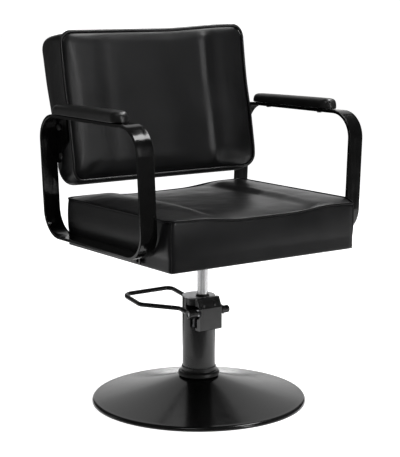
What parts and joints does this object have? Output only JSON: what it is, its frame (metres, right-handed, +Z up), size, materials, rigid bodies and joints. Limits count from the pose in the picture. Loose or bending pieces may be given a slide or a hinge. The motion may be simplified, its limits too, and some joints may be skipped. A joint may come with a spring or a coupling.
{
  "type": "styling chair",
  "caption": "Hairdresser's styling chair: padded seat and back on a hydraulic pump column with a round base, flat-bar loop armrests with pads and a foot pedal.",
  "frame": {"origin": "centre of the round base on the floor", "axes": "+Z up, -Y towards the front of the chair, +X to the right seen from the front"},
  "size_m": [0.7002, 0.5923, 0.966],
  "materials": {
    "base_paint": "gloss black",
    "base_underside": "dull",
    "rubber_black": "dull",
    "zinc_steel": "satin",
    "pump_paint": "semi gloss",
    "machined_steel": "satin",
    "pedal_paint": "semi gloss",
    "piston_chrome": "polished",
    "frame_paint": "matt",
    "plywood": "raw",
    "leather_black": "satin, fine grain",
    "board_wrap": "satin, fine grain",
    "arm_paint": "gloss black",
    "pad_black": "satin",
    "bolt_black": "semi gloss"
  },
  "bodies": {
    "pump": {"base_plate": "base_underside", "base_cover": "base_paint", "rim_seal": "rubber_black", "column_flange": "base_underside", "flange_bolts": "zinc_steel", "foot_collar": "rubber_black", "pump_column": "pump_paint", "pump_head": "pump_paint", "top_plate": "machined_steel", "lift_cylinder": "machined_steel", "cylinder_foot": "machined_steel", "wiper_seal": "rubber_black", "lever_housing": "pump_paint", "plunger_gland": "machined_steel", "plunger_spring": "zinc_steel"},
    "pedal": {"pedal_bar": "pedal_paint", "pedal_shaft": "machined_steel", "pedal_hub_left": "pedal_paint", "pedal_hub_right": "pedal_paint", "hub_screws": "bolt_black", "cam_arm": "machined_steel"},
    "plunger": {"plunger": "machined_steel"},
    "lift": {"piston": "piston_chrome", "thrust_washer": "rubber_black"},
    "seat": {"swivel_hub": "frame_paint", "mount_plate": "frame_paint", "seat_rails": "frame_paint", "plate_bolts": "zinc_steel", "seat_frame": "plywood", "seat_cushion": "leather_black", "back_cushion": "leather_black", "back_board": "board_wrap", "back_panel": "leather_black", "armrest_left": "arm_paint", "arm_pad_left": "pad_black", "pad_screws_left": "zinc_steel", "arm_lugs_left": "arm_paint", "lug_bolts_left": "bolt_black", "back_bracket_left": "arm_paint", "bracket_bolts_left": "bolt_black", "armrest_right": "arm_paint", "arm_pad_right": "pad_black", "pad_screws_right": "zinc_steel", "arm_lugs_right": "arm_paint", "lug_bolts_right": "bolt_black", "back_bracket_right": "arm_paint", "bracket_bolts_right": "bolt_black"}
  },
  "joints": [
    {"name": "lift_slide", "type": "slide", "parent": "pump", "child": "lift", "axis": [0, 0, 1], "range_m": [-0.07, 0.09]},
    {"name": "seat_swivel", "type": "hinge", "parent": "lift", "child": "seat", "pos_m": [0, -0.0168, 0.387], "axis": [0, 0, 1], "continuous": true},
    {"name": "pedal_hinge", "type": "hinge", "parent": "pump", "child": "pedal", "pos_m": [0, -0.0415, 0.2445], "axis": [-1, 0, 0], "range_deg": [0, 18], "stiffness_Nm_per_rad": 3, "springref_deg": -28.65},
    {"name": "plunger_slide", "type": "slide", "parent": "pump", "child": "plunger", "axis": [0, 0, -1], "range_m": [0, 0.008], "deforming": ["plunger_spring"]}
  ],
  "couplings": [
    {"joint": "plunger_slide", "follows": "pedal_hinge", "m_per_rad": 0.024}
  ]
}
